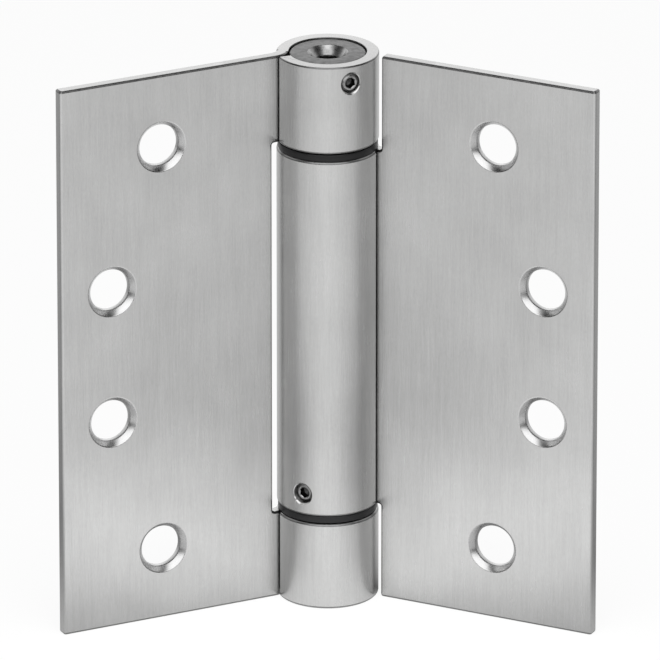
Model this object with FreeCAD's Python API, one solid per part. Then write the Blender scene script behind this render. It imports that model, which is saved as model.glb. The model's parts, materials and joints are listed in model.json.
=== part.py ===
"""Spring loaded door hinge: two rolled steel leaves, a long spring barrel, its adjuster and bearings.

Units are millimetres. The origin is on the hinge axis at the hinge's bottom end, +Z runs up the axis
and -Y is the side that the open leaves face. The frame leaf lies to the left and carries the top and
bottom knuckles, the door leaf lies to the right and carries the long centre barrel.
"""
import FreeCAD
import Part

import math
import os

from FreeCAD import Vector

# Overall size of one leaf and the pose in which the hinge stands
HEIGHT = 114.3
LEAF_REACH = 57.15
LEAF_SWEEP = 26.1
LEAF_CORNER_RADIUS = 0.5

# Sheet and the knuckle that is rolled from it
GAUGE = 2.4
BARREL_RADIUS = 10.1
FACE_SETBACK = 1.6
NECK_RADIUS = 2.5
ROLL_SEAM = 0.15
KNUCKLE_EDGE_RADIUS = 0.5

# Lengths along the axis: knuckle, bearing gap, barrel
KNUCKLE_LENGTH = 18.1
BEARING_GAP = 1.6
FRAME_LEAF_CLEARANCE = 1.25
DOOR_LEAF_CLEARANCE = 0.8

# Countersunk screw holes of a leaf
SCREW_HEAD_RADIUS = 5.2
SCREW_HOLE_RADIUS = 4.2
COUNTERSINK_ANGLE = 82.0
NEAR_HOLE_MARGIN = 21.75
FAR_HOLE_MARGIN = 10.95
NEAR_HOLE_HEIGHT = 42.3
FAR_HOLE_HEIGHT = 13.76

# Fits between the pieces
RUNNING_FIT = 0.08
PRESS_FIT = 0.02
THREAD_FIT = 0.05
AXIAL_PLAY = 0.15
SEAT_GAP = 0.05

# Tension adjuster in the top knuckle
ADJUSTER_RECESS = 0.2
ADJUSTER_EDGE_CHAMFER = 0.5
SPRING_NECK_LENGTH = 6.0
KEY_ACROSS_FLATS = 4.76
KEY_DEPTH = 7.5
KEY_COUNTERSINK_RADIUS = 4.3
LOCK_GROOVE_DEPTH = 0.9

# Flanged bearings between the knuckles and the barrel
FLANGE_INSET = 0.2
FLANGE_EDGE_RADIUS = 0.25
UPPER_HUB_LENGTH = 7.0
UPPER_HUB_WALL = 2.15
LOWER_HUB_LENGTH = 6.5
LOWER_HUB_WALL = 1.32

# Hex socket set screws
SET_SCREW_RADIUS = 2.0
SET_SCREW_SOCKET = 2.0
SET_SCREW_SOCKET_DEPTH = 1.5
SET_SCREW_CHAMFER = 0.2
UPPER_SCREW_SINK = 0.35
LOWER_SCREW_SINK = 0.9
UPPER_SCREW_DROP = 3.6
UPPER_SCREW_ANGLE = 27.0
LOWER_SCREW_RISE = 4.4
LOWER_SCREW_ANGLE = -30.0

# Torsion spring, its arbor and its anchor
WIRE_WIDTH = 2.0
WIRE_HEIGHT = 2.8
COIL_GAP = 0.6
COIL_CLEARANCE = 0.4
NECK_CLEARANCE = 0.45
NECK_WALL = 1.7
TANG_SIDE_CLEARANCE = 0.15
ARBOR_SEAT = 4.5
ANCHOR_SHOULDER_LENGTH = 11.0
ANCHOR_SPOT_DEPTH = 1.1

# Pintle pin and the plug that holds it in the bottom knuckle
PINTLE_RADIUS = 3.2
PINTLE_SEAT_DEPTH = 14.0
PINTLE_REACH = 8.0
PIN_CHAMFER = 0.4

# Values that follow from the sizes above
BORE_RADIUS = BARREL_RADIUS - GAUGE
BARREL_BOTTOM = KNUCKLE_LENGTH + BEARING_GAP
BARREL_TOP = HEIGHT - BARREL_BOTTOM
TOP_KNUCKLE_BOTTOM = HEIGHT - KNUCKLE_LENGTH
HUB_RADIUS = BORE_RADIUS - PRESS_FIT
ADJUSTER_RADIUS = BORE_RADIUS - RUNNING_FIT
WIRE_OUTER_RADIUS = BORE_RADIUS - COIL_CLEARANCE
COIL_RADIUS = WIRE_OUTER_RADIUS - WIRE_WIDTH / 2
NEAR_HOLE_REACH = LEAF_REACH - NEAR_HOLE_MARGIN
FAR_HOLE_REACH = LEAF_REACH - FAR_HOLE_MARGIN
JOURNAL_RADIUS = HUB_RADIUS - UPPER_HUB_WALL - RUNNING_FIT
LOWER_HUB_RADIUS = PINTLE_RADIUS + RUNNING_FIT + LOWER_HUB_WALL
SPRING_NECK_RADIUS = WIRE_OUTER_RADIUS - WIRE_WIDTH - NECK_CLEARANCE
ARBOR_RADIUS = SPRING_NECK_RADIUS - NECK_WALL
JOURNAL_BOTTOM = BARREL_TOP - UPPER_HUB_LENGTH - AXIAL_PLAY
ANCHOR_TOP = BARREL_BOTTOM + ANCHOR_SHOULDER_LENGTH
UP = Vector(0, 0, 1)
AXIS = Vector(0, 0, 0)


def polar(radius, degrees, z=0.0):
    """A point at a radius and an angle about the hinge axis."""
    angle = math.radians(degrees)
    return Vector(radius * math.cos(angle), radius * math.sin(angle), z)


def cylinder(radius, bottom, top):
    """A solid cylinder on the hinge axis."""
    return Part.makeCylinder(radius, top - bottom, Vector(0, 0, bottom), UP)


def revolved(points):
    """A solid turned about the hinge axis from (radius, height) points."""
    corners = [Vector(radius, 0, z) for radius, z in points]
    face = Part.Face(Part.makePolygon(corners + corners[:1]))
    return face.revolve(AXIS, UP, 360)


def hexagon(across_flats, z):
    """A six-sided face about the hinge axis at a height."""
    corner = across_flats / math.sqrt(3)
    corners = [polar(corner, 60 * side, z) for side in range(7)]
    return Part.Face(Part.makePolygon(corners))


def arc(centre, radius, start, end):
    """A circular edge about a centre, from one angle to another in degrees."""
    points = [centre + polar(radius, angle) for angle in (start, (start + end) / 2, end)]
    return Part.Arc(*points).toShape()


def line(start, end):
    """A straight edge."""
    return Part.LineSegment(start, end).toShape()


def rolled_section(flat_end):
    """The sheet's section through a knuckle: start of the flat, neck bend and the rolled ring.

    Local x runs outward along the leaf and local y towards its back. The bend and the ring share
    the sheet's gauge, and the ring ends just short of the leaf's front face, which leaves the seam.
    """
    front = FACE_SETBACK
    back = FACE_SETBACK + GAUGE
    bend_y = back + NECK_RADIUS
    bend_x = math.sqrt((BARREL_RADIUS + NECK_RADIUS) ** 2 - bend_y ** 2)
    bend = Vector(bend_x, bend_y, 0)
    leave = math.degrees(math.atan2(bend_y, bend_x))
    seam = 360 + math.degrees(math.asin((front - ROLL_SEAM) / BARREL_RADIUS))
    edges = [
        line(Vector(flat_end, front, 0), Vector(bend_x, front, 0)),
        arc(bend, NECK_RADIUS + GAUGE, 270, 180 + leave),
        arc(AXIS, BORE_RADIUS, leave, seam),
        line(polar(BORE_RADIUS, seam), polar(BARREL_RADIUS, seam)),
        arc(AXIS, BARREL_RADIUS, seam, leave),
        arc(bend, NECK_RADIUS, 180 + leave, 270),
        line(Vector(bend_x, back, 0), Vector(flat_end, back, 0)),
        line(Vector(flat_end, back, 0), Vector(flat_end, front, 0)),
    ]
    return Part.Face(Part.Wire(edges))


def knuckle(bottom, top, cut_back):
    """One rolled knuckle with the start of the flat that carries it, its outer rims rounded."""
    section = rolled_section(cut_back + GAUGE)
    section.translate(Vector(0, 0, bottom))
    roll = section.extrude(Vector(0, 0, top - bottom))
    rims = [
        edge
        for edge in roll.Edges
        if isinstance(edge.Curve, Part.Circle)
        and abs(edge.Curve.Radius - BARREL_RADIUS) < 1e-6
        and abs(abs(edge.Curve.Axis.z) - 1) < 1e-9
    ]
    return roll.makeFillet(KNUCKLE_EDGE_RADIUS, rims)


def flat_leaf(cut_back):
    """The flat of a leaf over its full height, from the edge that is cut back beside the barrel."""
    flat = Part.makeBox(LEAF_REACH - cut_back, GAUGE, HEIGHT, Vector(cut_back, FACE_SETBACK, 0))
    corners = [
        edge
        for edge in flat.Edges
        if abs(edge.Vertexes[0].Point.y - edge.Vertexes[-1].Point.y) > GAUGE / 2
    ]
    return flat.makeFillet(LEAF_CORNER_RADIUS, corners)


def screw_hole(reach, z):
    """The tool for one countersunk hole, bored through the leaf from its front face."""
    slope = math.tan(math.radians(COUNTERSINK_ANGLE / 2))
    depth = (SCREW_HEAD_RADIUS - SCREW_HOLE_RADIUS) / slope
    overshoot = GAUGE / 2
    mouth = Vector(reach, FACE_SETBACK - overshoot, z)
    inward = Vector(0, 1, 0)
    mouth_radius = SCREW_HEAD_RADIUS + overshoot * slope
    cone = Part.makeCone(mouth_radius, SCREW_HOLE_RADIUS, depth + overshoot, mouth, inward)
    shank = Part.makeCylinder(SCREW_HOLE_RADIUS, GAUGE + 2 * overshoot, mouth, inward)
    return cone.fuse(shank)


def screw_holes():
    """The four hole tools of one leaf: the outer pair nearer the barrel, the inner pair farther out."""
    middle = HEIGHT / 2
    places = []
    for side in (-1, 1):
        places.append((NEAR_HOLE_REACH, middle + side * NEAR_HOLE_HEIGHT))
        places.append((FAR_HOLE_REACH, middle + side * FAR_HOLE_HEIGHT))
    return [screw_hole(reach, z) for reach, z in places]


def leaf(knuckle_spans, clearance):
    """A leaf in its own frame, made from the flat, its knuckles and its screw holes.

    The flat is cut back beside the other leaf's knuckles, by a clearance beyond the barrel's radius.
    """
    cut_back = BARREL_RADIUS + clearance
    blank = flat_leaf(cut_back)
    for bottom, top in knuckle_spans:
        blank = blank.fuse(knuckle(bottom, top, cut_back))
    blank = blank.removeSplitter()
    for tool in screw_holes():
        blank = blank.cut(tool)
    return blank


def place_left(shape):
    """Turn a leaf built along +X so that it lies to the left of the axis, swept forward."""
    mirrored = shape.mirror(AXIS, Vector(1, 0, 0))
    mirrored.rotate(AXIS, UP, LEAF_SWEEP)
    return mirrored


def place_right(shape):
    """Turn a leaf built along +X so that it lies to the right of the axis, swept forward."""
    placed = shape.copy()
    placed.rotate(AXIS, UP, -LEAF_SWEEP)
    return placed


def set_screw_direction(angle):
    """Outward direction of a set screw, at an angle to the right of the front."""
    return polar(1, angle - 90)


def set_screw_bore(angle, z, radius, inner, outer):
    """A radial cylinder at a height, between two distances from the hinge axis."""
    outward = set_screw_direction(angle)
    return Part.makeCylinder(radius, outer - inner, outward * inner + Vector(0, 0, z), outward)


def frame_leaf():
    """The leaf screwed to the door frame, with the top and bottom knuckles."""
    spans = [(0, KNUCKLE_LENGTH), (TOP_KNUCKLE_BOTTOM, HEIGHT)]
    body = place_left(leaf(spans, FRAME_LEAF_CLEARANCE))
    thread = set_screw_bore(UPPER_SCREW_ANGLE, HEIGHT - UPPER_SCREW_DROP,
                            SET_SCREW_RADIUS + THREAD_FIT, BORE_RADIUS - 1, BARREL_RADIUS + 1)
    return body.cut(thread)


def door_leaf():
    """The leaf screwed to the door, with the long barrel that holds the spring."""
    body = place_right(leaf([(BARREL_BOTTOM, BARREL_TOP)], DOOR_LEAF_CLEARANCE))
    thread = set_screw_bore(LOWER_SCREW_ANGLE, BARREL_BOTTOM + LOWER_SCREW_RISE,
                            SET_SCREW_RADIUS + THREAD_FIT, BORE_RADIUS - 1, BARREL_RADIUS + 1)
    return body.cut(thread)


def tang_slot(bottom, top, inner, outer):
    """The tool for the slot across a spring neck, which takes the tang of the spring."""
    width = WIRE_WIDTH + 2 * TANG_SIDE_CLEARANCE
    return Part.makeBox(outer - inner, width, top - bottom, Vector(inner, -width / 2, bottom))


def tension_adjuster():
    """The plug in the top knuckle: key socket above, journal in the bearing, slotted neck below."""
    top = HEIGHT - ADJUSTER_RECESS
    shoulder = TOP_KNUCKLE_BOTTOM
    neck_bottom = JOURNAL_BOTTOM - SPRING_NECK_LENGTH
    screw_z = HEIGHT - UPPER_SCREW_DROP
    groove_half = SET_SCREW_RADIUS + THREAD_FIT
    groove_radius = ADJUSTER_RADIUS - LOCK_GROOVE_DEPTH
    body = revolved([
        (0, neck_bottom),
        (SPRING_NECK_RADIUS, neck_bottom),
        (SPRING_NECK_RADIUS, JOURNAL_BOTTOM),
        (JOURNAL_RADIUS, JOURNAL_BOTTOM),
        (JOURNAL_RADIUS, shoulder),
        (ADJUSTER_RADIUS, shoulder),
        (ADJUSTER_RADIUS, screw_z - groove_half),
        (groove_radius, screw_z - groove_half),
        (groove_radius, screw_z + groove_half),
        (ADJUSTER_RADIUS, screw_z + groove_half),
        (ADJUSTER_RADIUS, top - ADJUSTER_EDGE_CHAMFER),
        (ADJUSTER_RADIUS - ADJUSTER_EDGE_CHAMFER, top),
        (0, top),
    ])
    key = hexagon(KEY_ACROSS_FLATS, top - KEY_DEPTH).extrude(Vector(0, 0, KEY_DEPTH + 1))
    lead_in = Part.makeCone(0, KEY_COUNTERSINK_RADIUS + 1, KEY_COUNTERSINK_RADIUS + 1,
                            Vector(0, 0, top - KEY_COUNTERSINK_RADIUS), UP)
    arbor_seat = cylinder(ARBOR_RADIUS + PRESS_FIT, neck_bottom - 1, neck_bottom + ARBOR_SEAT)
    slot_top = neck_bottom + WIRE_HEIGHT + COIL_GAP
    slot = tang_slot(neck_bottom - 1, slot_top, ARBOR_RADIUS, SPRING_NECK_RADIUS + 1)
    return body.cut(key).cut(lead_in).cut(arbor_seat).cut(slot)


def flanged_bearing(flange_bottom, flange_top, hub_from, hub_to, hub_radius, bore_radius):
    """A plastic bearing: a rounded flange between two knuckles and a hub on one side of it."""
    flange = cylinder(BARREL_RADIUS - FLANGE_INSET, flange_bottom, flange_top)
    flange = flange.makeFillet(FLANGE_EDGE_RADIUS, [
        edge for edge in flange.Edges if isinstance(edge.Curve, Part.Circle)
    ])
    hub = cylinder(hub_radius, hub_from, hub_to)
    bore = cylinder(bore_radius, min(flange_bottom, hub_from) - 1, max(flange_top, hub_to) + 1)
    return flange.fuse(hub).cut(bore).removeSplitter()


def upper_bearing():
    """The bearing pressed into the top of the barrel, in which the adjuster's journal turns."""
    middle = (BARREL_TOP + TOP_KNUCKLE_BOTTOM - AXIAL_PLAY) / 2
    return flanged_bearing(BARREL_TOP, TOP_KNUCKLE_BOTTOM - AXIAL_PLAY,
                           BARREL_TOP - UPPER_HUB_LENGTH, middle,
                           HUB_RADIUS, JOURNAL_RADIUS + RUNNING_FIT)


def lower_bearing():
    """The bearing in the spring anchor at the barrel's bottom, which turns on the pintle pin."""
    middle = (BARREL_BOTTOM + KNUCKLE_LENGTH + AXIAL_PLAY) / 2
    return flanged_bearing(KNUCKLE_LENGTH + AXIAL_PLAY, BARREL_BOTTOM,
                           middle, BARREL_BOTTOM + LOWER_HUB_LENGTH,
                           LOWER_HUB_RADIUS, PINTLE_RADIUS + RUNNING_FIT)


def set_screw(angle, z, tip, sink):
    """A headless screw with a hex socket, its outer end sunk a little under the barrel's surface."""
    outer = BARREL_RADIUS - sink
    shank = set_screw_bore(angle, z, SET_SCREW_RADIUS, tip, outer)
    outward = set_screw_direction(angle)
    chamfered = shank.makeChamfer(SET_SCREW_CHAMFER, [
        edge for edge in shank.Edges if isinstance(edge.Curve, Part.Circle)
    ])
    socket = hexagon(SET_SCREW_SOCKET, 0).extrude(Vector(0, 0, SET_SCREW_SOCKET_DEPTH + 1))
    socket.Placement = FreeCAD.Placement(
        outward * (outer - SET_SCREW_SOCKET_DEPTH) + Vector(0, 0, z),
        FreeCAD.Rotation(UP, outward),
    )
    return chamfered.cut(socket)


def adjuster_set_screw():
    """The screw in the top knuckle that locks the adjuster by its groove."""
    tip = ADJUSTER_RADIUS - LOCK_GROOVE_DEPTH + SEAT_GAP
    return set_screw(UPPER_SCREW_ANGLE, HEIGHT - UPPER_SCREW_DROP, tip, UPPER_SCREW_SINK)


def anchor_set_screw():
    """The screw in the barrel that holds the spring anchor by a spot drilled in it."""
    tip = HUB_RADIUS - ANCHOR_SPOT_DEPTH + SEAT_GAP
    return set_screw(LOWER_SCREW_ANGLE, BARREL_BOTTOM + LOWER_SCREW_RISE, tip, LOWER_SCREW_SINK)


def spring_anchor():
    """The plug held in the bottom of the barrel, which carries the lower bearing and the spring."""
    neck_top = ANCHOR_TOP + SPRING_NECK_LENGTH
    body = revolved([
        (0, BARREL_BOTTOM),
        (HUB_RADIUS, BARREL_BOTTOM),
        (HUB_RADIUS, ANCHOR_TOP),
        (SPRING_NECK_RADIUS, ANCHOR_TOP),
        (SPRING_NECK_RADIUS, neck_top),
        (0, neck_top),
    ])
    bearing_seat = cylinder(LOWER_HUB_RADIUS + PRESS_FIT, BARREL_BOTTOM - 1,
                            BARREL_BOTTOM + LOWER_HUB_LENGTH + SEAT_GAP)
    pin_room = cylinder(PINTLE_RADIUS + 2 * RUNNING_FIT, BARREL_BOTTOM - 1,
                        BARREL_BOTTOM + PINTLE_REACH + 2 * SEAT_GAP)
    arbor_bore = cylinder(ARBOR_RADIUS + RUNNING_FIT, neck_top - ARBOR_SEAT, neck_top + 1)
    slot_bottom = neck_top - WIRE_HEIGHT - COIL_GAP
    slot = tang_slot(slot_bottom, neck_top + 1, ARBOR_RADIUS, SPRING_NECK_RADIUS + 1)
    spot = set_screw_bore(LOWER_SCREW_ANGLE, BARREL_BOTTOM + LOWER_SCREW_RISE,
                          SET_SCREW_RADIUS + THREAD_FIT, HUB_RADIUS - ANCHOR_SPOT_DEPTH,
                          BARREL_RADIUS)
    return body.cut(bearing_seat).cut(pin_room).cut(arbor_bore).cut(slot).cut(spot)


def torsion_spring():
    """The rectangular wire coil in the barrel, wound so that opening the door tightens it.

    Each end turns inward as a tang, which lies in the slot of the anchor or of the adjuster.
    """
    bottom = ANCHOR_TOP + SPRING_NECK_LENGTH - COIL_GAP / 2 - WIRE_HEIGHT / 2
    top = JOURNAL_BOTTOM - SPRING_NECK_LENGTH + COIL_GAP / 2 + WIRE_HEIGHT / 2
    turns = math.floor((top - bottom) / (WIRE_HEIGHT + COIL_GAP))
    pitch = (top - bottom) / turns
    path = Part.Wire(Part.makeHelix(pitch, top - bottom, COIL_RADIUS))
    inner = COIL_RADIUS - WIRE_WIDTH / 2
    outer = COIL_RADIUS + WIRE_WIDTH / 2
    half = WIRE_HEIGHT / 2
    corners = [Vector(inner, 0, -half), Vector(outer, 0, -half),
               Vector(outer, 0, half), Vector(inner, 0, half)]
    coil = path.makePipeShell([Part.makePolygon(corners + corners[:1])], True, True)
    coil = coil.mirror(AXIS, Vector(0, 1, 0))
    coil.translate(Vector(0, 0, bottom))
    tang_inner = ARBOR_RADIUS + 2 * TANG_SIDE_CLEARANCE
    spring = coil
    for z in (bottom, top):
        tang = Part.makeBox(COIL_RADIUS - tang_inner, WIRE_WIDTH, WIRE_HEIGHT,
                            Vector(tang_inner, -WIRE_WIDTH / 2, z - half))
        spring = spring.fuse(tang)
    return spring


def spring_arbor():
    """The rod inside the coil that keeps it straight, fixed in the adjuster and free in the anchor."""
    bottom = ANCHOR_TOP + SPRING_NECK_LENGTH - ARBOR_SEAT + SEAT_GAP
    top = JOURNAL_BOTTOM - SPRING_NECK_LENGTH + ARBOR_SEAT - SEAT_GAP
    return chamfered_rod(ARBOR_RADIUS, bottom, top)


def chamfered_rod(radius, bottom, top):
    """A round rod on the hinge axis with its ends chamfered."""
    rod = cylinder(radius, bottom, top)
    return rod.makeChamfer(PIN_CHAMFER, [
        edge for edge in rod.Edges if isinstance(edge.Curve, Part.Circle)
    ])


def pintle_pin():
    """The pin that stands in the bottom plug and carries the barrel."""
    return chamfered_rod(PINTLE_RADIUS, KNUCKLE_LENGTH - PINTLE_SEAT_DEPTH + SEAT_GAP,
                         BARREL_BOTTOM + PINTLE_REACH)


def bottom_plug():
    """The plug pressed into the bottom knuckle, flush with its lower end."""
    plug = chamfered_rod(HUB_RADIUS, 0, KNUCKLE_LENGTH)
    seat = cylinder(PINTLE_RADIUS + PRESS_FIT, KNUCKLE_LENGTH - PINTLE_SEAT_DEPTH,
                    KNUCKLE_LENGTH + 1)
    return plug.cut(seat)


PIECES = {
    "frame_leaf": frame_leaf,
    "door_leaf": door_leaf,
    "tension_adjuster": tension_adjuster,
    "adjuster_set_screw": adjuster_set_screw,
    "upper_bearing": upper_bearing,
    "torsion_spring": torsion_spring,
    "spring_arbor": spring_arbor,
    "spring_anchor": spring_anchor,
    "anchor_set_screw": anchor_set_screw,
    "lower_bearing": lower_bearing,
    "pintle_pin": pintle_pin,
    "bottom_plug": bottom_plug,
}

os.makedirs("parts", exist_ok=True)
for name, build in PIECES.items():
    shape = build()
    shape.exportStep(os.path.join("parts", name + ".step"))
    print(name, "valid", shape.isValid(), "solids", len(shape.Solids), "volume", round(shape.Volume, 2))
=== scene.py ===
"""Looks of the spring loaded door hinge: brushed leaves, adjuster, bearings, set screws and studio."""

import json
import math

import bmesh
import bpy
from bpy.props import FloatProperty, FloatVectorProperty, IntProperty, PointerProperty
from mathutils import Matrix, Vector


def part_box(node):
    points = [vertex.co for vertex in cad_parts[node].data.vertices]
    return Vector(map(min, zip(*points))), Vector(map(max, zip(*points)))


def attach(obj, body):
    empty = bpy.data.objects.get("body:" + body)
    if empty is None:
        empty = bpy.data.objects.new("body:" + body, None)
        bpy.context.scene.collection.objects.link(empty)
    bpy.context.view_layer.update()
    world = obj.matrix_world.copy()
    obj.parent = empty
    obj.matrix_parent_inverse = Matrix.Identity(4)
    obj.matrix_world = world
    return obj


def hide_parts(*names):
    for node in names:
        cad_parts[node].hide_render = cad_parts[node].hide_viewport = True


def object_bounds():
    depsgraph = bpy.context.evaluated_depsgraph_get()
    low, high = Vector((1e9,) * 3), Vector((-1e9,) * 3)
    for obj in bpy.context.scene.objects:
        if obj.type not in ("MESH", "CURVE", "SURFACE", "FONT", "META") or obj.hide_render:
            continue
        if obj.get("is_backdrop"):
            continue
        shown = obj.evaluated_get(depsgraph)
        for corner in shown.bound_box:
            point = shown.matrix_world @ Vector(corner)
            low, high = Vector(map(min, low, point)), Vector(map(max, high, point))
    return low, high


bl_info = {
    "name": "Spring Hinge Looks",
    "version": (1, 0, 0),
    "blender": (4, 5, 0),
    "location": "View3D > Sidebar > Hinge",
    "description": "Builds the visible pieces of a spring loaded door hinge around its packed frame",
    "category": "Object",
}

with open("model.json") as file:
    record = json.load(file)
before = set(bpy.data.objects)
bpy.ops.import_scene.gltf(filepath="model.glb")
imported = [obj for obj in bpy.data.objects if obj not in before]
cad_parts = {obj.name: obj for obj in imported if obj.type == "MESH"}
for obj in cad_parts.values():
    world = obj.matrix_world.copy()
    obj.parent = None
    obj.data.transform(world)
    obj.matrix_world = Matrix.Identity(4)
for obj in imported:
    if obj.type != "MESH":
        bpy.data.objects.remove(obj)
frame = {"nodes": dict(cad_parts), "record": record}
FRAME_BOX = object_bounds()
MM = 0.001
UP = Vector((0, 0, 1))
MOUNTS = {mount["name"]: mount for mount in frame["record"]["mounts"]}

# Fits and hidden sizes, the same as the solids'
PRESS_FIT = 0.02 * MM
THREAD_FIT = 0.05 * MM
AXIAL_PLAY = 0.15 * MM
UPPER_HUB_WALL = 2.17 * MM
LOWER_HUB_RADIUS = 4.6 * MM
PIN_BORE_RADIUS = 3.28 * MM
FLANGE_EDGE = 0.25 * MM
KEY_DEPTH = 7.5 * MM
LOCK_GROOVE_DEPTH = 0.9 * MM
SOCKET_DEPTH = 1.5 * MM

# Small forms of the set screws and the adjuster's cone that the scene adds
HOLE_MOUTH = 0.12 * MM
THREAD_DEPTH = 0.3 * MM
SCREW_CHAMFER = 0.6 * MM
DRILL_POINT = 0.5 * MM
CONE_STEEPNESS = 1.35

# How near a point or a normal has to be to count as on a surface, or along it
ON_SURFACE = 0.01 * MM
ROUND = 0.9995
FLAT = 0.9999

# From here outwards, the rounding of a leaf's level edges goes over to the sheet's
NECK_START = 8 * MM

# Each lamp's name, place, size and watts
LAMPS = (
    ("key light", (0.0, -0.28, 1.3), (0.5, 0.5), 10.4),
    ("middle light", (0.0, -0.30, 0.09), (0.07, 0.36), 0.09),
    ("foot light", (0.0, -0.05, 0.04), (0.12, 0.03), 0.032),
)

# Heights and radii that the frame gives
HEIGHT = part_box("frame_leaf")[1].z
KNUCKLE_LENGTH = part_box("bottom_plug")[1].z
BARREL_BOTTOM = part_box("spring_anchor")[0].z
BARREL_TOP = HEIGHT - BARREL_BOTTOM
BARREL_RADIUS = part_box("frame_leaf")[1].y
BORE_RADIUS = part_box("bottom_plug")[1].x + PRESS_FIT
ADJUSTER_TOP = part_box("tension_adjuster")[1].z
ADJUSTER_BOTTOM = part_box("tension_adjuster")[0].z
BACK_AXIS = Vector(MOUNTS["door_leaf_back"]["axis"])
LEAF_SWEEP = math.atan2(BACK_AXIS.x, BACK_AXIS.y)
LEAF_BACK = Vector(MOUNTS["door_leaf_back"]["pos_m"]).dot(BACK_AXIS)


def screw_places(side):
    """The (reach, height) of the four screw holes of a leaf, from the record's patterns."""
    outward = Vector((math.cos(LEAF_SWEEP), -math.sin(LEAF_SWEEP), 0))
    places = []
    for name in (f"{side}_screws_near_barrel", f"{side}_screws_far_from_barrel"):
        centre = Vector(MOUNTS[name]["pos_m"])
        reach = Vector((abs(centre.x), centre.y, 0)).dot(outward)
        half = MOUNTS[name]["dims"]["pcd_mm"] * MM / 2
        places += [(reach, centre.z - half), (reach, centre.z + half)]
    return places


def distance(name, description, millimetres):
    """A length property with its default given in millimetres."""
    return FloatProperty(name=name, description=description, default=millimetres * MM,
                         min=0.0, subtype="DISTANCE", unit="LENGTH", precision=5)


def colour(name, description, value):
    """A linear colour property."""
    return FloatVectorProperty(name=name, description=description, default=value,
                               size=3, min=0.0, max=1.0, subtype="COLOR")


def share(name, description, value, top=1.0):
    """A plain number property."""
    return FloatProperty(name=name, description=description, default=value, min=0.0, max=top)


class HingeSizes(bpy.types.PropertyGroup):
    """Sizes of the hinge's visible pieces."""

    gauge: distance("Gauge", "Thickness of the leaf sheet", 2.4)
    leaf_reach: distance("Leaf reach", "From the pin's axis to the leaf's outer edge", 57.15)
    corner: distance("Leaf corner", "Radius of the leaf's corners", 0.5)
    frame_cut: distance("Frame leaf gap", "Gap between the frame leaf and the long barrel", 1.25)
    door_cut: distance("Door leaf gap", "Gap between the door leaf and the end knuckles", 0.8)
    neck: distance("Neck radius", "Outer radius of the bend behind a knuckle", 2.5)
    seam: distance("Roll seam", "Gap where the rolled sheet meets its own leaf", 0.15)
    rim: distance("Knuckle rim", "Rounding of a knuckle's outer rim", 0.5)
    edge_break: distance("Edge break", "Rounding of the sheet's other edges", 0.45)
    hole_break: distance("Hole break", "Rounding of the edges of screw holes", 0.18)
    bore_break: distance("Bore break", "Rounding of the edges of the barrel's bore", 0.12)
    screw_head: distance("Screw head radius", "Radius of a countersink at the leaf's face", 5.2)
    screw_hole: distance("Screw hole radius", "Radius of a screw hole behind its countersink", 4.2)
    countersink: share("Countersink angle", "Full angle of a countersink, in degrees", 82.0, 120.0)
    thread: distance("Set screw radius", "Radius of a set screw's thread", 2.0)
    pitch: distance("Thread pitch", "Pitch of a set screw's thread", 0.7)
    socket_key: distance("Set screw key", "Across the flats of a set screw's socket", 2.0)
    key: distance("Adjuster key", "Across the flats of the adjuster's socket", 4.76)
    key_sink: distance("Key countersink", "Radius of the adjuster's countersink", 4.0)
    flange_inset: distance("Flange inset", "How far a bearing's flange lies inside the barrel", 0.2)
    steps: IntProperty(name="Steps", description="Straight steps in a full circle", default=180, min=24)


class HingeFinish(bpy.types.PropertyGroup):
    """Colours and finishes of the hinge."""

    steel: colour("Steel", "Brushed sheet", (0.58, 0.58, 0.577))
    steel_dark: colour("Steel, dark streak", "Darkest streak of the brushed sheet", (0.45, 0.45, 0.447))
    cut: colour("Cut steel", "Walls of the screw holes", (0.64, 0.64, 0.64))
    cut_dark: colour("Cut steel, dark ring", "Darkest tool ring in the screw holes", (0.38, 0.38, 0.38))
    # Painted shade: the rounded level edges are coloured darker than the sheet, to stand for the dark line
    # they show.
    edge: colour("Edge with painted shade", "Rounded level edges of the sheet", (0.25, 0.25, 0.25))
    turned: colour("Turned steel", "Adjuster plug", (0.21, 0.21, 0.21))
    cone: colour("Cone steel", "Bright cone round the adjuster's socket", (0.48, 0.48, 0.48))
    screw: colour("Screw steel", "Set screws", (0.42, 0.42, 0.42))
    # Painted shade: the set screws' sockets are coloured near black to stand for the shadow inside them.
    socket: colour("Socket with painted shade", "Inside of the set screws' sockets", (0.10, 0.10, 0.10))
    hidden: colour("Pin steel", "Pins and plugs inside the barrel", (0.48, 0.48, 0.48))
    spring: colour("Spring steel", "Tempered spring wire", (0.16, 0.16, 0.17))
    plastic: colour("Bearing plastic", "Black moulded bearings", (0.006, 0.006, 0.0065))
    floor: colour("Floor", "Studio floor", (0.86, 0.86, 0.86))


class Wire:
    """A socket of a node tree that Python's arithmetic works on, by adding Math nodes."""

    def __init__(self, graph, socket):
        self.graph = graph
        self.socket = socket

    def math(self, operation, *values):
        inputs = dict(enumerate(values))
        return self.graph.node("ShaderNodeMath", {"operation": operation}, inputs)

    def clamped(self):
        """The value kept between 0 and 1."""
        return self.graph.node("ShaderNodeClamp", inputs={"Value": self})

    def __abs__(self):
        return self.math("ABSOLUTE", self)

    def __add__(self, other):
        return self.math("ADD", self, other)

    def __sub__(self, other):
        return self.math("SUBTRACT", self, other)

    def __rsub__(self, other):
        return self.math("SUBTRACT", other, self)

    def __mul__(self, other):
        return self.math("MULTIPLY", self, other)

    __radd__ = __add__
    __rmul__ = __mul__


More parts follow.
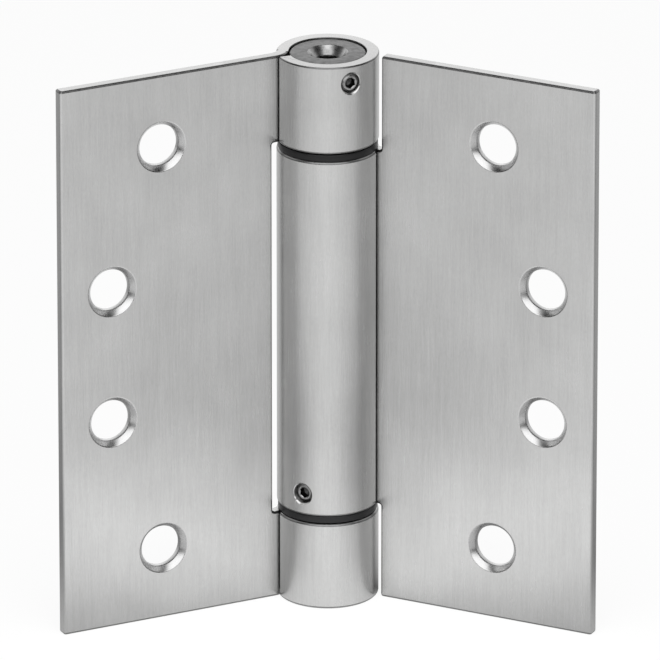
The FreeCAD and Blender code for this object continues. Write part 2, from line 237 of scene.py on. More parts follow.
class Graph:
    """The node tree of one material or of the world."""

    def __init__(self, tree):
        self.tree = tree
        tree.nodes.clear()

    def node(self, kind, settings=None, inputs=None, output=0):
        """Add a node of a type: its settings first, then the values or links of its sockets."""
        node = self.tree.nodes.new(kind)
        for name, value in (settings or {}).items():
            setattr(node, name, value)
        for key, value in (inputs or {}).items():
            if isinstance(value, Wire):
                self.tree.links.new(value.socket, node.inputs[key])
            else:
                node.inputs[key].default_value = value
        return Wire(self, node.outputs[output]) if node.outputs else None

    def position(self):
        """The place on the piece, in metres."""
        return self.node("ShaderNodeTexCoord", output="Object")

    def stretched(self, vector, scale):
        """A vector with each of its axes scaled."""
        return self.node("ShaderNodeVectorMath", {"operation": "MULTIPLY"}, {0: vector, 1: scale})

    def along(self, vector, direction):
        """How far a vector reaches along a direction."""
        return self.node("ShaderNodeVectorMath", {"operation": "DOT_PRODUCT"},
                         {0: vector, 1: direction}, output="Value")

    def length(self, vector):
        """How long a vector is."""
        return self.node("ShaderNodeVectorMath", {"operation": "LENGTH"}, {0: vector}, output="Value")

    def noise(self, vector, scale, detail=2.0, rough=0.5):
        """Smooth noise with a mean of a half."""
        return self.node("ShaderNodeTexNoise", inputs={
            "Vector": vector, "Scale": scale, "Detail": detail, "Roughness": rough})

    def blend(self, factor, first, second):
        """A colour between two colours."""
        return self.node("ShaderNodeMix", {"data_type": "RGBA"},
                         {0: factor, 6: first, 7: second}, output=2)

    def bump(self, height, depth):
        """A normal bent by a height between 0 and 1 that stands for a depth in metres."""
        return self.node("ShaderNodeBump", inputs={"Height": height, "Distance": depth, "Strength": 1.0})

    def rays(self):
        """1 for camera rays, and 1 for the rays that metal or clear matter sends out, else 0."""
        camera, glossy, clear = [self.node("ShaderNodeLightPath", output=f"Is {kind} Ray")
                                 for kind in ("Camera", "Glossy", "Transmission")]
        return camera, (glossy + clear).clamped()

    def surface(self, inputs):
        """The Principled shader and the material's output."""
        shader = self.node("ShaderNodeBsdfPrincipled", inputs=inputs)
        self.node("ShaderNodeOutputMaterial", inputs={"Surface": shader})


def rgba(value):
    """A colour with full alpha."""
    return (*value, 1.0)


def new_material(name):
    """An empty material and its graph."""
    material = bpy.data.materials.new(name)
    material.use_nodes = True
    return material, Graph(material.node_tree)


def brushed_steel(name, light, dark):
    """Sheet steel brushed along the pin's axis: fine upright streaks over faint clouds."""
    material, g = new_material(name)
    place = g.position()
    fine = g.noise(g.stretched(place, (1.0, 1.0, 0.04)), 3600.0, 2.0)
    broad = g.noise(g.stretched(place, (1.0, 1.0, 0.06)), 800.0, 3.0)
    hair = g.noise(g.stretched(place, (1.0, 1.0, 0.01)), 14000.0, 1.0)
    grain = g.noise(g.stretched(place, (1.0, 1.0, 0.3)), 4200.0, 2.0)
    clouds = g.noise(place, 70.0, 4.0)
    tone = fine * 0.65 + broad * 0.45 + grain * 0.55 + clouds * 1.05 - 0.85
    g.surface({
        "Metallic": 1.0,
        "Base Color": g.blend(tone, rgba(dark), rgba(light)),
        "Roughness": 0.17 + clouds * 0.06 + fine * 0.10,
        "Anisotropic": 0.6,
        "Normal": g.bump(hair * 0.5 + fine * 0.3 + broad * 0.2, 0.012 * MM),
    })
    return material


def cut_steel(name, light, dark, normal):
    """The bright wall of a countersunk hole, with tool rings round the hole's axis."""
    material, g = new_material(name)
    place = g.position()
    depth = g.along(place, normal)
    rings = g.noise(g.node("ShaderNodeCombineXYZ", inputs={"X": depth}), 9000.0, 2.0)
    chatter = g.noise(place, 900.0, 3.0)
    tone = rings * 0.7 + chatter * 0.5
    g.surface({
        "Metallic": 1.0,
        "Base Color": g.blend(tone, rgba(dark), rgba(light)),
        "Roughness": 0.20 + chatter * 0.16,
        "Normal": g.bump(rings * 0.7 + chatter * 0.3, 0.01 * MM),
    })
    return material


def turned_steel(name, light, rough=0.34, stained=0.45):
    """Steel turned about the pin's axis: fine rings that follow the radius and the height."""
    material, g = new_material(name)
    place = g.position()
    flat = g.stretched(place, (1.0, 1.0, 0.0))
    radius = g.length(flat)
    height = g.along(place, (0.0, 0.0, 1.0))
    rings = g.noise(g.node("ShaderNodeCombineXYZ", inputs={"X": radius, "Y": height}), 6000.0, 2.0)
    stain = g.noise(place, 900.0, 4.0, 0.6)
    tone = (rings * 0.5 + stain * 3.2 - 1.35).clamped()
    dark = [channel * (1 - stained) for channel in light]
    g.surface({
        "Metallic": 1.0,
        "Base Color": g.blend(tone, rgba(dark), rgba(light)),
        "Roughness": rough - 0.06 + stain * 0.16,
        "Normal": g.bump(rings * 0.6 + stain * 0.4, 0.012 * MM),
    })
    return material


def moulded_plastic(name, light):
    """Black bearing plastic with a faint grain and scuffed patches."""
    material, g = new_material(name)
    place = g.position()
    grain = g.noise(place, 5200.0, 2.0)
    scuffs = g.noise(g.stretched(place, (1.0, 1.0, 4.0)), 700.0, 4.0)
    pale = [channel * 2.5 for channel in light]
    g.surface({
        "Base Color": g.blend(scuffs * 0.5, rgba(light), rgba(pale)),
        "Roughness": 0.32 + grain * 0.14,
        "Specular IOR Level": 0.35,
        "Normal": g.bump(grain * 0.5 + scuffs * 0.5, 0.01 * MM),
    })
    return material


def circle_points(centre, radius, start, end, steps):
    """Points on an arc about a centre, from one angle to another, both ends included."""
    count = max(2, math.ceil(abs(end - start) / (2 * math.pi) * steps))
    angles = [start + (end - start) * i / count for i in range(count + 1)]
    return [Vector((centre.x + radius * math.cos(a), centre.y + radius * math.sin(a))) for a in angles]


def rolled_outline(sizes, flat_end):
    """The rolled sheet's section: flat, neck bend and the ring that ends at the seam."""
    back = LEAF_BACK
    front = back - sizes.gauge
    ring = BARREL_RADIUS
    bore = ring - sizes.gauge
    bend_y = back + sizes.neck
    bend = Vector((math.sqrt((ring + sizes.neck) ** 2 - bend_y ** 2), bend_y))
    leave = math.atan2(bend.y, bend.x)
    seam = 2 * math.pi + math.asin((front - sizes.seam) / ring)
    centre = Vector((0, 0))
    down = 1.5 * math.pi
    steps = sizes.steps
    points = [Vector((flat_end, front))]
    points += circle_points(bend, sizes.neck + sizes.gauge, down, math.pi + leave, steps)
    points += circle_points(centre, bore, leave, seam, steps)[1:]
    points += circle_points(centre, ring, seam, leave, steps)
    points += circle_points(bend, sizes.neck, math.pi + leave, down, steps)[1:]
    points.append(Vector((flat_end, back)))
    return points


def rounded(corners, steps):
    """A polygon from (x, y, radius) corners, each rounded where its radius isn't zero."""
    points = []
    count = len(corners)
    for i, (x, y, radius) in enumerate(corners):
        here = Vector((x, y))
        if radius == 0:
            points.append(here)
            continue
        to_last = (Vector(corners[i - 1][:2]) - here).normalized()
        to_next = (Vector(corners[(i + 1) % count][:2]) - here).normalized()
        centre = here + (to_last + to_next) * radius
        first = here + to_last * radius - centre
        turn = first.angle_signed(here + to_next * radius - centre)
        start = math.atan2(first.y, first.x)
        points += circle_points(centre, radius, start, start - turn, steps)
    return points


def frame_leaf_plan(sizes, cut_back):
    """The frame leaf seen square on: full at both ends, cut back beside the barrel."""
    left = -BARREL_RADIUS - MM
    low, high = KNUCKLE_LENGTH, HEIGHT - KNUCKLE_LENGTH
    r = sizes.corner
    return [(sizes.leaf_reach, 0, r), (sizes.leaf_reach, HEIGHT, r), (left, HEIGHT, 0), (left, high, 0),
            (cut_back, high, r), (cut_back, low, r), (left, low, 0), (left, 0, 0)]


def door_leaf_plan(sizes, cut_back):
    """The door leaf seen square on: full beside the barrel, cut back at both ends."""
    left = -BARREL_RADIUS - MM
    low, high = BARREL_BOTTOM, BARREL_TOP
    r = sizes.corner
    return [(sizes.leaf_reach, 0, r), (sizes.leaf_reach, HEIGHT, r), (cut_back, HEIGHT, r),
            (cut_back, high, r), (left, high, 0), (left, low, 0), (cut_back, low, r), (cut_back, 0, r)]


def extruded(points, low, high, place):
    """A closed prism: each outline point, put in space by place(x, y, distance), at both ends."""
    bm = bmesh.new()
    ends = [[bm.verts.new(place(p.x, p.y, end)) for p in points] for end in (low, high)]
    bm.faces.new(ends[0])
    bm.faces.new(ends[1])
    for i in range(len(points)):
        j = (i + 1) % len(points)
        bm.faces.new((ends[0][i], ends[0][j], ends[1][j], ends[1][i]))
    bmesh.ops.recalc_face_normals(bm, faces=bm.faces)
    return bm


def lathe(profile, steps):
    """A closed solid turned about +Z from a (radius, height) profile; closed rings are allowed."""
    bm = bmesh.new()
    rows = []
    for radius, z in profile:
        if radius == 0:
            rows.append([bm.verts.new((0, 0, z))] * steps)
        else:
            rows.append([
                bm.verts.new((radius * math.cos(2 * math.pi * i / steps),
                              radius * math.sin(2 * math.pi * i / steps), z))
                for i in range(steps)
            ])
    spans = list(zip(rows, rows[1:]))
    if profile[0][0] != 0:
        spans.append((rows[-1], rows[0]))
    for first, second in spans:
        for i in range(steps):
            j = (i + 1) % steps
            corners = []
            for vert in (first[i], first[j], second[j], second[i]):
                if vert not in corners:
                    corners.append(vert)
            if len(corners) > 2:
                bm.faces.new(corners)
    bmesh.ops.recalc_face_normals(bm, faces=bm.faces)
    return bm


def thread(radius, pitch, depth, low, high, steps=72, rows_per_turn=10):
    """A threaded rod along +Z: a cylinder whose radius follows a helix between crest and root."""
    bm = bmesh.new()
    count = math.ceil((high - low) / pitch * rows_per_turn)
    rows = []
    for row in range(count + 1):
        z = low + (high - low) * row / count
        ring = []
        for i in range(steps):
            turn = i / steps
            phase = (z / pitch - turn) % 1.0
            ridge = min(1.0, 1.35 * abs(2 * phase - 1))
            r = radius - depth * (1 - ridge)
            angle = 2 * math.pi * turn
            ring.append(bm.verts.new((r * math.cos(angle), r * math.sin(angle), z)))
        rows.append(ring)
    for first, second in zip(rows, rows[1:]):
        for i in range(steps):
            j = (i + 1) % steps
            bm.faces.new((first[i], first[j], second[j], second[i]))
    bm.faces.new(rows[0])
    bm.faces.new(rows[-1])
    bmesh.ops.recalc_face_normals(bm, faces=bm.faces)
    return bm


def to_object(name, bm, matrix=None):
    """A new object in the scene from a bmesh, moved by a matrix first."""
    if matrix is not None:
        bmesh.ops.transform(bm, matrix=matrix, verts=bm.verts)
        if matrix.determinant() < 0:
            bmesh.ops.reverse_faces(bm, faces=bm.faces)
    mesh = bpy.data.meshes.new(name)
    bm.to_mesh(mesh)
    bm.free()
    piece = bpy.data.objects.new(name, mesh)
    bpy.context.scene.collection.objects.link(piece)
    return piece


def combine(piece, tools, operation):
    """Cut, join or trim a piece by other solids, which are used up."""
    for tool in tools:
        step = piece.modifiers.new(operation.lower(), "BOOLEAN")
        step.operation = operation
        step.solver = "EXACT"
        step.object = tool
    seen = piece.evaluated_get(bpy.context.evaluated_depsgraph_get())
    mesh = bpy.data.meshes.new_from_object(seen)
    piece.modifiers.clear()
    old = piece.data
    piece.data = mesh
    mesh.name = old.name
    bpy.data.meshes.remove(old)
    for tool in tools:
        bpy.data.meshes.remove(tool.data)
    return piece


def soften(piece, width, weight_of, segments=3):
    """Round a piece's sharp edges: weight_of(edge) gives each edge its share of the width."""
    bm = bmesh.new()
    bm.from_mesh(piece.data)
    bmesh.ops.remove_doubles(bm, verts=bm.verts, dist=0.0005 * MM)
    bmesh.ops.dissolve_degenerate(bm, dist=0.0005 * MM, edges=bm.edges)
    layer = bm.edges.layers.float.new("bevel_weight_edge")
    for edge in bm.edges:
        if len(edge.link_faces) == 2 and edge.calc_face_angle(0.0) > math.radians(28):
            edge[layer] = weight_of(edge)
            edge.smooth = edge[layer] > 0
    bm.to_mesh(piece.data)
    bm.free()
    bevel = piece.modifiers.new("rounded edges", "BEVEL")
    bevel.limit_method = "WEIGHT"
    bevel.width = width
    bevel.segments = segments
    bevel.use_clamp_overlap = False
    bevel.loop_slide = False
    smooth = piece.modifiers.new("smooth shading", "WEIGHTED_NORMAL")
    smooth.weight = 100
    smooth.keep_sharp = True
    piece.data.shade_smooth()
    return piece


def settle(piece, back_to_leaf):
    """Keep the rounded mesh and give its barrel and its flats the normals of the true surfaces."""
    seen = piece.evaluated_get(bpy.context.evaluated_depsgraph_get())
    mesh = bpy.data.meshes.new_from_object(seen)
    piece.modifiers.clear()
    old = piece.data
    piece.data = mesh
    bpy.data.meshes.remove(old)
    normals = [corner.vector.copy() for corner in mesh.corner_normals]
    owners = {}
    for face in mesh.polygons:
        radial = Vector((face.center.x, face.center.y, 0))
        facing = face.normal.dot(radial.normalized())
        on_ring = min(abs(radial.length - BARREL_RADIUS), abs(radial.length - BORE_RADIUS)) < ON_SURFACE
        on_flat = face.area > 0.5 * MM * MM and abs((back_to_leaf.to_3x3() @ face.normal).y) > FLAT
        if not (on_ring and abs(facing) > ROUND or on_flat or abs(face.normal.z) > FLAT):
            continue
        for vert, loop in zip(face.vertices, face.loop_indices):
            place = mesh.vertices[vert].co
            true = face.normal.copy()
            if on_ring and abs(facing) > ROUND:
                true = Vector((place.x, place.y, 0)).normalized() * math.copysign(1.0, facing)
            normals[loop] = true
            owners.setdefault(vert, []).append(true)
    for loop in mesh.loops:
        for true in owners.get(loop.vertex_index, []):
            if normals[loop.index].dot(true) > 0.97:
                normals[loop.index] = true
                break
    mesh.normals_split_custom_set(normals)


def mark_level_edges(piece):
    """Give the roundings along the sheet's level edges the third material, a darker steel that paints shade
    on them.
    """
    ends = (0, HEIGHT)
    inner = (KNUCKLE_LENGTH, BARREL_BOTTOM, BARREL_TOP, HEIGHT - KNUCKLE_LENGTH)
    for face in piece.data.polygons:
        by_barrel = math.hypot(face.center.x, face.center.y) < BARREL_RADIUS + 3 * MM
        levels = ends + inner if by_barrel else ends
        near = min(abs(face.center.z - level) for level in levels) < 0.5 * MM
        if near and 0.12 < abs(face.normal.z) < 0.96:
            face.material_index = 2


def paint(piece, *materials):
    """Give a piece its materials; its faces keep the places they have in the list."""
    places = [face.material_index for face in piece.data.polygons]
    piece.data.materials.clear()
    for material in materials:
        piece.data.materials.append(material)
    for face, place in zip(piece.data.polygons, places):
        face.material_index = min(place, len(materials) - 1)


def leaf_matrix(mirrored):
    """From a leaf's own frame, outward along +X and back along +Y, to its place on the hinge."""
    if mirrored:
        return Matrix.Rotation(LEAF_SWEEP, 4, "Z") @ Matrix.Scale(-1, 4, Vector((1, 0, 0)))
    return Matrix.Rotation(-LEAF_SWEEP, 4, "Z")


def screw_hole(sizes, reach, z):
    """The tool for one countersunk hole, along +Y in the leaf's frame."""
    front = LEAF_BACK - sizes.gauge
    slope = math.tan(math.radians(sizes.countersink / 2))
    sink = (sizes.screw_head - sizes.screw_hole) / slope
    over = sizes.gauge / 2
    profile = [(0, -over), (sizes.screw_head + over * slope, -over), (sizes.screw_hole, sink),
               (sizes.screw_hole, sizes.gauge + over), (0, sizes.gauge + over)]
    turn = Matrix.Translation((reach, front, z)) @ Matrix.Rotation(-math.pi / 2, 4, "X")
    return to_object("hole tool", lathe(profile, 128), turn)


def radial_matrix(node):
    """From a screw's own frame, outward along +Z, to its place: read from the screw's solid."""
    low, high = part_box(node)
    middle = (low + high) / 2
    outward = Vector((middle.x, middle.y, 0)).normalized()
    turn = UP.rotation_difference(outward).to_matrix().to_4x4()
    return Matrix.Translation((0, 0, middle.z)) @ turn


def screw_ends(node):
    """How far a set screw's inner and outer ends lie from the pin's axis."""
    matrix = radial_matrix(node).inverted()
    reaches = [(matrix @ vert.co).z for vert in frame["nodes"][node].data.vertices]
    return min(reaches), max(reaches)


def leaf_blank(sizes, name, plan, side, cut_back):
    """The rolled section trimmed to the leaf's plan, with its screw holes, in the leaf's own frame."""
    section = rolled_outline(sizes, sizes.leaf_reach + MM)
    piece = to_object(name, extruded(section, -MM, HEIGHT + MM, lambda x, y, end: (x, y, end)))
    outline = rounded(plan(sizes, cut_back), 64)
    depth = BARREL_RADIUS + MM
    trim = extruded(outline, -depth, depth, lambda x, z, end: (x, end, z))
    combine(piece, [to_object("plan", trim)], "INTERSECT")
    return combine(piece, [screw_hole(sizes, *spot) for spot in screw_places(side)], "DIFFERENCE")


def cut_set_screw_hole(sizes, piece, screw):
    """Cut the hole that a set screw runs in; its mouth widens where the barrel's face falls away."""
    hole = sizes.thread + THREAD_FIT
    face = BARREL_RADIUS - 0.2 * MM
    rod = lathe([(0, BORE_RADIUS - MM), (hole, BORE_RADIUS - MM), (hole, face - HOLE_MOUTH),
                 (hole + HOLE_MOUTH + MM, face + MM), (0, face + MM)], 96)
    combine(piece, [to_object("set screw hole", rod, radial_matrix(screw))], "DIFFERENCE")


def leaf_weights(sizes, side, screw, back_to_leaf, cut_back):
    """A function that gives each sharp edge of a leaf its share of the knuckle rim's rounding."""
    spots = screw_places(side)
    sheet = sizes.edge_break / sizes.rim

    def weight_of(edge):
        middle = back_to_leaf @ ((edge.verts[0].co + edge.verts[1].co) / 2)
        radius = math.hypot(middle.x, middle.y)
        if abs(radius - BARREL_RADIUS) < ON_SURFACE and is_level(edge):
            return 1.0 if middle.z < HEIGHT - MM else 0.6
        if radius < BORE_RADIUS + 0.2 * MM:
            return sizes.bore_break / sizes.rim
        if is_level(edge) and middle.y > 0 and radius > BARREL_RADIUS and middle.x < cut_back:
            reach = (middle.x - NECK_START) / (cut_back - NECK_START)
            return 1.0 + (sheet - 1.0) * min(1.0, max(0.0, reach))
        for reach, z in spots:
            if math.hypot(middle.x - reach, middle.z - z) < sizes.screw_head + 0.1 * MM:
                return sizes.hole_break / sizes.rim
        if near_screw(edge, screw):
            return 0.0
        return sheet

    return weight_of


def build_leaf(sizes, name, node, body, plan, side, screw):
    """One leaf: its blank put in place, then its set screw's hole and its edges."""
    mirrored = side == "frame"
    cut_back = BARREL_RADIUS + (sizes.frame_cut if mirrored else sizes.door_cut)
    piece = leaf_blank(sizes, name, plan, side, cut_back)
    place = leaf_matrix(mirrored)
    piece.data.transform(place)
    if mirrored:
        piece.data.flip_normals()
    cut_set_screw_hole(sizes, piece, screw)
    back_to_leaf = place.inverted()
    soften(piece, sizes.rim, leaf_weights(sizes, side, screw, back_to_leaf, cut_back))
    mark_hole_walls(piece, back_to_leaf, side, sizes)
    settle(piece, back_to_leaf)
    mark_level_edges(piece)
    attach(piece, body)
    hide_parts(node)
    return piece


def is_level(edge):
    """Whether an edge lies in a level plane."""
    return abs(edge.verts[0].co.z - edge.verts[1].co.z) < 0.001 * MM


def near_screw(edge, node):
    """Whether an edge belongs to a set screw's threaded hole."""
    middle = radial_matrix(node).inverted() @ ((edge.verts[0].co + edge.verts[1].co) / 2)
    return middle.z > 0 and math.hypot(middle.x, middle.y) < 2.4 * MM


def mark_hole_walls(piece, back_to_leaf, side, sizes):
    """Give the walls of the screw holes the second material."""
    for face in piece.data.polygons:
        middle = back_to_leaf @ face.center
        normal = back_to_leaf.to_3x3() @ face.normal
        for reach, z in screw_places(side):
            inside = math.hypot(middle.x - reach, middle.z - z) < sizes.screw_head + 0.05 * MM
            if inside and abs(normal.y) < 0.95:
                face.material_index = 1


class HINGE_OT_build_leaves(bpy.types.Operator):
    """Build the two brushed leaves with their rolled knuckles and countersunk holes"""

    bl_idname = "hinge.build_leaves"
    bl_label = "Build leaves"

    def execute(self, context):
        sizes = context.scene.hinge_sizes
        finish = context.scene.hinge_finish
        jobs = (
            ("leaf_of_frame", "frame_leaf", "frame_side", frame_leaf_plan, "frame", "adjuster_set_screw"),
            ("leaf_of_door", "door_leaf", "door_side", door_leaf_plan, "door", "anchor_set_screw"),
        )
        sheet = brushed_steel("brushed leaf steel", finish.steel, finish.steel_dark)
        # The edge steel is painted shade: it colours the rounded level edges darker than the sheet.
        edge = turned_steel("edge with painted shade", finish.edge, 0.3, 0.25)
        for job in jobs:
            leaf = build_leaf(sizes, *job)
            normal = MOUNTS[f"{job[4]}_leaf_back"]["axis"]
            wall = cut_steel(f"hole wall of {job[4]} leaf", finish.cut, finish.cut_dark, normal)
            paint(leaf, sheet, wall, edge)
        return {"FINISHED"}


def hexagon(radius):
    """The corners of a hexagon about the origin."""
    return circle_points(Vector((0, 0)), radius, 0, 2 * math.pi, 6)[:-1]


def adjuster_profile(sizes, hole, sink):
    """The adjuster's section: neck, journal, plug with its lock groove, and countersink."""
    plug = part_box("tension_adjuster")[1].x
    top, bottom = ADJUSTER_TOP, ADJUSTER_BOTTOM
    hub_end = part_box("upper_bearing")[0].z - AXIAL_PLAY
    shoulder = HEIGHT - KNUCKLE_LENGTH
    journal = plug - UPPER_HUB_WALL
    neck = journal - 0.6 * MM
    edge = 0.5 * MM
    low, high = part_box("adjuster_set_screw")
    screw_z = (low.z + high.z) / 2
    groove = sizes.thread + THREAD_FIT
    waist = plug - LOCK_GROOVE_DEPTH
    return [
        (0, bottom), (neck, bottom), (neck, hub_end),
        (journal, hub_end), (journal, shoulder), (plug, shoulder),
        (plug, screw_z - groove), (waist, screw_z - groove),
        (waist, screw_z + groove), (plug, screw_z + groove),
        (plug, top - edge), (plug - 0.15 * MM, top - edge / 3), (plug - edge, top),
        (sizes.key_sink, top), (hole, top - sink), (0, top - sink),
    ]


class HINGE_OT_build_adjuster(bpy.types.Operator):
    """Build the tension adjuster with its countersunk hex socket"""

    bl_idname = "hinge.build_adjuster"
    bl_label = "Build adjuster"

    def execute(self, context):
        sizes = context.scene.hinge_sizes
        finish = context.scene.hinge_finish
        top = ADJUSTER_TOP
        hole = sizes.key / math.sqrt(3)
        sink = CONE_STEEPNESS * (sizes.key_sink - hole)
        profile = adjuster_profile(sizes, hole, sink)
        piece = to_object("adjuster_plug", lathe(profile, sizes.steps))
        key = extruded(hexagon(hole), top - KEY_DEPTH, top, lambda x, y, end: (x, y, end))
        combine(piece, [to_object("key tool", key)], "DIFFERENCE")
        soften(piece, 0.06 * MM, lambda e: 1.0, 2)
        paint(piece, turned_steel("turned adjuster steel", finish.turned, 0.34, 0.6),
              turned_steel("bright cone steel", finish.cone, 0.26))
        for face in piece.data.polygons:
            middle = face.center
            inside = math.hypot(middle.x, middle.y) < sizes.key_sink and middle.z > top - sink
            if inside and 0.2 < face.normal.z < 0.95:
                face.material_index = 1
        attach(piece, "adjuster")
        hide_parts("tension_adjuster")
        return {"FINISHED"}


def bearing_profile(low, high, hub_end, flange, hub, bore, edge):
    """A flanged bearing's section: the flange between low and high, and the hub to hub_end."""
    upward = hub_end > high
    face = high if upward else low
    around = [(Vector((flange - edge, low + edge)), -math.pi / 2, 0.0),
              (Vector((flange - edge, high - edge)), 0.0, math.pi / 2)]
    rim = []
    for centre, start, end in around:
        rim += [(p.x, p.y) for p in circle_points(centre, edge, start, end, 24)]
    if upward:
        return [(bore, low)] + rim + [(hub, face), (hub, hub_end), (bore, hub_end)]
    return [(bore, hub_end), (hub, hub_end), (hub, face)] + rim + [(bore, high)]


class HINGE_OT_build_bearings(bpy.types.Operator):
    """Build the two black flanged bearings"""

    bl_idname = "hinge.build_bearings"
    bl_label = "Build bearings"

    def execute(self, context):
        sizes = context.scene.hinge_sizes
        finish = context.scene.hinge_finish
        plastic = moulded_plastic("black bearing plastic", finish.plastic)
        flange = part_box("upper_bearing")[1].x
        upper = bearing_profile(BARREL_TOP, HEIGHT - KNUCKLE_LENGTH - AXIAL_PLAY,
                                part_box("upper_bearing")[0].z, flange,
                                BORE_RADIUS - PRESS_FIT, BORE_RADIUS - UPPER_HUB_WALL, FLANGE_EDGE)
        lower = bearing_profile(KNUCKLE_LENGTH + AXIAL_PLAY, BARREL_BOTTOM,
                                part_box("lower_bearing")[1].z, flange,
                                LOWER_HUB_RADIUS, PIN_BORE_RADIUS, FLANGE_EDGE)
        for name, node, profile in (("bearing_upper", "upper_bearing", upper),
                                    ("bearing_lower", "lower_bearing", lower)):
            piece = to_object(name, lathe(profile, sizes.steps))
            soften(piece, 0.05 * MM, lambda e: 1.0, 2)
            paint(piece, plastic)
            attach(piece, "door_side")
            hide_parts(node)
        return {"FINISHED"}


def screw_blank(sizes, name, inner, outer):
    """A threaded rod between two reaches from the pin's axis, with both ends chamfered."""
    rod = thread(sizes.thread, sizes.pitch, THREAD_DEPTH, inner - MM, outer + MM)
    piece = to_object(name, rod)
    over = 0.2 * MM
    end = sizes.thread - SCREW_CHAMFER
    side = sizes.thread + over
    trim = lathe([(0, inner), (end, inner), (side, inner + SCREW_CHAMFER + over),
                  (side, outer - SCREW_CHAMFER - over), (end, outer), (0, outer)], 96)
    return combine(piece, [to_object("trim", trim)], "INTERSECT")


def cut_socket(sizes, piece, outer):
    """Cut a set screw's hex socket, drill point and chamfered mouth; its inside gets material 1, a dark
    steel that paints the shade in the socket.
    """
    hole = sizes.socket_key / math.sqrt(3)
    deep = outer - SOCKET_DEPTH
    cone = deep + 0.05 * MM
    over = 0.15 * MM
    socket = extruded(hexagon(hole), deep, outer + MM, lambda x, y, end: (x, y, end))
    point = lathe([(0, deep - DRILL_POINT), (sizes.socket_key / 2, cone), (0, cone)], 48)
    mouth = lathe([(0, outer - hole), (hole + over, outer + over), (0, outer + over)], 48)
    tools = [to_object("socket", socket), to_object("point", point), to_object("mouth", mouth)]
    combine(piece, tools, "DIFFERENCE")
    for face in piece.data.polygons:
        inside = math.hypot(face.center.x, face.center.y) < hole
        face.material_index = int(inside and face.center.z < outer - 0.1 * MM)


class HINGE_OT_build_set_screws(bpy.types.Operator):
    """Build the two threaded set screws with their hex sockets"""

    bl_idname = "hinge.build_set_screws"
    bl_label = "Build set screws"

    def execute(self, context):
        sizes = context.scene.hinge_sizes
        finish = context.scene.hinge_finish
        steel = turned_steel("set screw steel", finish.screw, 0.3)
        # The socket steel paints the shade inside the sockets dark.
        shade = turned_steel("socket with painted shade", finish.socket, 0.4)
        for name, node, body in (("lock_screw_upper", "adjuster_set_screw", "frame_side"),
                                 ("lock_screw_lower", "anchor_set_screw", "door_side")):
            inner, outer = screw_ends(node)
            piece = screw_blank(sizes, name, inner, outer)
            cut_socket(sizes, piece, outer)
            piece.data.transform(radial_matrix(node))
            piece.data.shade_flat()
            paint(piece, steel, shade)
            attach(piece, body)
            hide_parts(node)
        return {"FINISHED"}


class HINGE_OT_finish_inner_pieces(bpy.types.Operator):
    """Give the pieces inside the barrel their steel finishes"""

    bl_idname = "hinge.finish_inner_pieces"
    bl_label = "Finish inner pieces"

    def execute(self, context):
        finish = context.scene.hinge_finish
        pin = turned_steel("pin steel", finish.hidden)
        wire = turned_steel("tempered spring wire", finish.spring, 0.42)
        for name in ("spring_arbor", "spring_anchor", "pintle_pin", "bottom_plug"):
            paint(frame["nodes"][name], pin)
        paint(frame["nodes"]["torsion_spring"], wire)
        return {"FINISHED"}


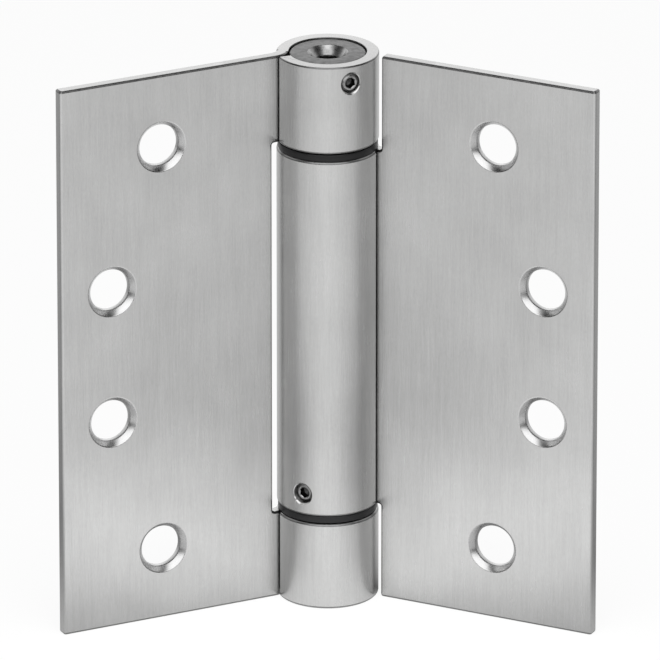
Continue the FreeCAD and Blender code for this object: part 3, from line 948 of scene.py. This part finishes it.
class HINGE_OT_build_stage(bpy.types.Operator):
    """Build the pale floor, the soft light and the camera"""

    bl_idname = "hinge.build_stage"
    bl_label = "Build stage"

    def execute(self, context):
        finish = context.scene.hinge_finish
        self.floor(finish)
        self.world()
        for lamp in LAMPS:
            self.lamp(*lamp)
        self.camera(context.scene)
        context.scene.view_settings.view_transform = "Standard"
        return {"FINISHED"}

    def floor(self, finish):
        """A wide pale floor that shows the camera a white ground with a soft shadow."""
        bm = bmesh.new()
        bmesh.ops.create_grid(bm, x_segments=8, y_segments=8, size=3.0)
        floor = to_object("floor", bm)
        material, g = new_material("pale floor")
        grain = g.noise(g.position(), 8.0, 3.0)
        pale = g.blend(grain * 0.1, rgba(finish.floor), rgba([c * 0.97 for c in finish.floor]))
        cloth = g.node("ShaderNodeBsdfDiffuse", inputs={"Color": pale})
        # The glow is painted light: even white for the camera, and for the metal's reflections a painted
        # pool of light with a painted shade ring.
        glow = g.node("ShaderNodeEmission", inputs={"Color": (1, 1, 1, 1), "Strength": self.pool(g)})
        camera, mirrored = g.rays()
        share_of_glow = (camera * 0.92 + mirrored * 0.72).clamped()
        mixed = g.node("ShaderNodeMixShader", inputs={0: share_of_glow, 1: cloth, 2: glow})
        g.node("ShaderNodeOutputMaterial", inputs={"Surface": mixed})
        paint(floor, material)
        floor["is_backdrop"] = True

    def pool(self, g):
        """White for the camera; for metal, a painted pool of light on the ground that darkens to the sides,
        with a painted shade ring beside the hinge.
        """
        flat = g.stretched(g.position(), (1.0, 1.0, 0.0))
        direction = g.node("ShaderNodeVectorMath", {"operation": "NORMALIZE"}, {0: flat})
        ahead = g.along(direction, (-0.05, -1, 0))
        far = g.length(flat)
        aside = (1 - ahead) * 1.5
        # Painted shade: a darker ring in the ground's glow about 9 cm from the hinge, seen only in the
        # metal.
        painted_shade_ring = (1 - abs(far - 0.09) * 14.0).clamped() * aside.math("MINIMUM", aside, 0.55)
        near = (0.62 + ahead * 0.56) * (1 - painted_shade_ring)
        faded = near.math("MINIMUM", near, 0.25 + ahead * 1.4)
        faded = faded.math("MAXIMUM", faded, ahead * -1.0)
        faded = faded.math("MAXIMUM", faded, 0.1)
        return 1 - g.rays()[1] * (1 - faded)

    def world(self):
        """White for the camera, a room of bright patches for the metal, and a dim even light besides."""
        world = bpy.data.worlds.new("studio")
        bpy.context.scene.world = world
        world.use_nodes = True
        g = Graph(world.node_tree)
        towards = g.node("ShaderNodeTexCoord", output="Generated")
        side = abs(g.along(towards, (1, 0, 0)))
        height = g.along(towards, (0, 0, 1))
        fade = 8.0
        back = (g.along(towards, (0, 1, 0)) * 1.6).clamped()
        wall = back * ((0.8 - height) * 3.0).clamped() * 1.05
        horizon = ((0.12 - height) * fade).clamped() * (1 - back) * (0.4 - side * 0.3)
        box = ((g.along(towards, (0, -0.82, 0.572)) - 0.70) * fade).clamped()
        box = box * ((height - 0.12) * fade).clamped()
        drop = ((g.along(towards, (0, 0.934, 0.358)) - 0.86) * fade).clamped()
        ceiling = ((height - 0.85) * fade).clamped() * 0.3
        room = 0.04 + wall + drop * 0.25 + horizon + box * 1.9 + ceiling
        camera, mirrored = g.rays()
        strength = camera + mirrored * room + (1 - (camera + mirrored).clamped()) * 0.3
        sky = g.node("ShaderNodeBackground", inputs={"Color": (1, 1, 1, 1), "Strength": strength})
        g.node("ShaderNodeOutputWorld", inputs={"Surface": sky})

    def lamp(self, name, place, size, watts):
        """A soft light that faces the floor and that metal doesn't mirror."""
        light = bpy.data.lights.new(name, "AREA")
        light.shape = "RECTANGLE"
        light.size, light.size_y = size
        light.energy = watts
        lamp = bpy.data.objects.new(name, light)
        lamp.location = place
        lamp.visible_camera = False
        lamp.visible_glossy = False
        bpy.context.scene.collection.objects.link(lamp)

    def camera(self, scene):
        """The photograph's viewpoint: far off, square to the hinge and a little above it."""
        aside = 0.444 * MM
        reach = 2.515
        rise = math.radians(21.174)
        tilt = math.radians(21.208)
        data = bpy.data.cameras.new("camera")
        data.sensor_width = 36.0
        data.lens = 693.92
        data.clip_end = 30.0
        camera = bpy.data.objects.new("camera", data)
        camera.location = (aside, -reach * math.cos(rise), HEIGHT / 2 + reach * math.sin(rise))
        camera.rotation_euler = (math.pi / 2 - tilt, 0, 0)
        scene.collection.objects.link(camera)
        scene.camera = camera


STEPS = (HINGE_OT_build_leaves, HINGE_OT_build_adjuster, HINGE_OT_build_bearings,
         HINGE_OT_build_set_screws, HINGE_OT_finish_inner_pieces, HINGE_OT_build_stage)


class HINGE_PT_looks(bpy.types.Panel):
    """Lists the steps, sizes and finishes in the sidebar"""

    bl_label = "Spring Hinge"
    bl_space_type = "VIEW_3D"
    bl_region_type = "UI"
    bl_category = "Hinge"

    def draw(self, context):
        for step in STEPS:
            self.layout.operator(step.bl_idname)
        for group in (context.scene.hinge_sizes, context.scene.hinge_finish):
            box = self.layout.box()
            for name in group.__annotations__:
                box.prop(group, name)


CLASSES = (HingeSizes, HingeFinish, *STEPS, HINGE_PT_looks)


def register():
    """Register the classes and hang the properties on the scene."""
    for cls in CLASSES:
        bpy.utils.register_class(cls)
    bpy.types.Scene.hinge_sizes = PointerProperty(type=HingeSizes)
    bpy.types.Scene.hinge_finish = PointerProperty(type=HingeFinish)


def unregister():
    """Take the properties and classes away again."""
    del bpy.types.Scene.hinge_finish
    del bpy.types.Scene.hinge_sizes
    for cls in reversed(CLASSES):
        bpy.utils.unregister_class(cls)


def main():
    """Build the whole look."""
    register()
    for step in STEPS:
        group, name = step.bl_idname.split(".")
        getattr(getattr(bpy.ops, group), name)()
    boxes = {"frame": FRAME_BOX, "visual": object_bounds()}
    plain = {name: [list(corner) for corner in box] for name, box in boxes.items()}


if __name__ == "__main__":
    main()
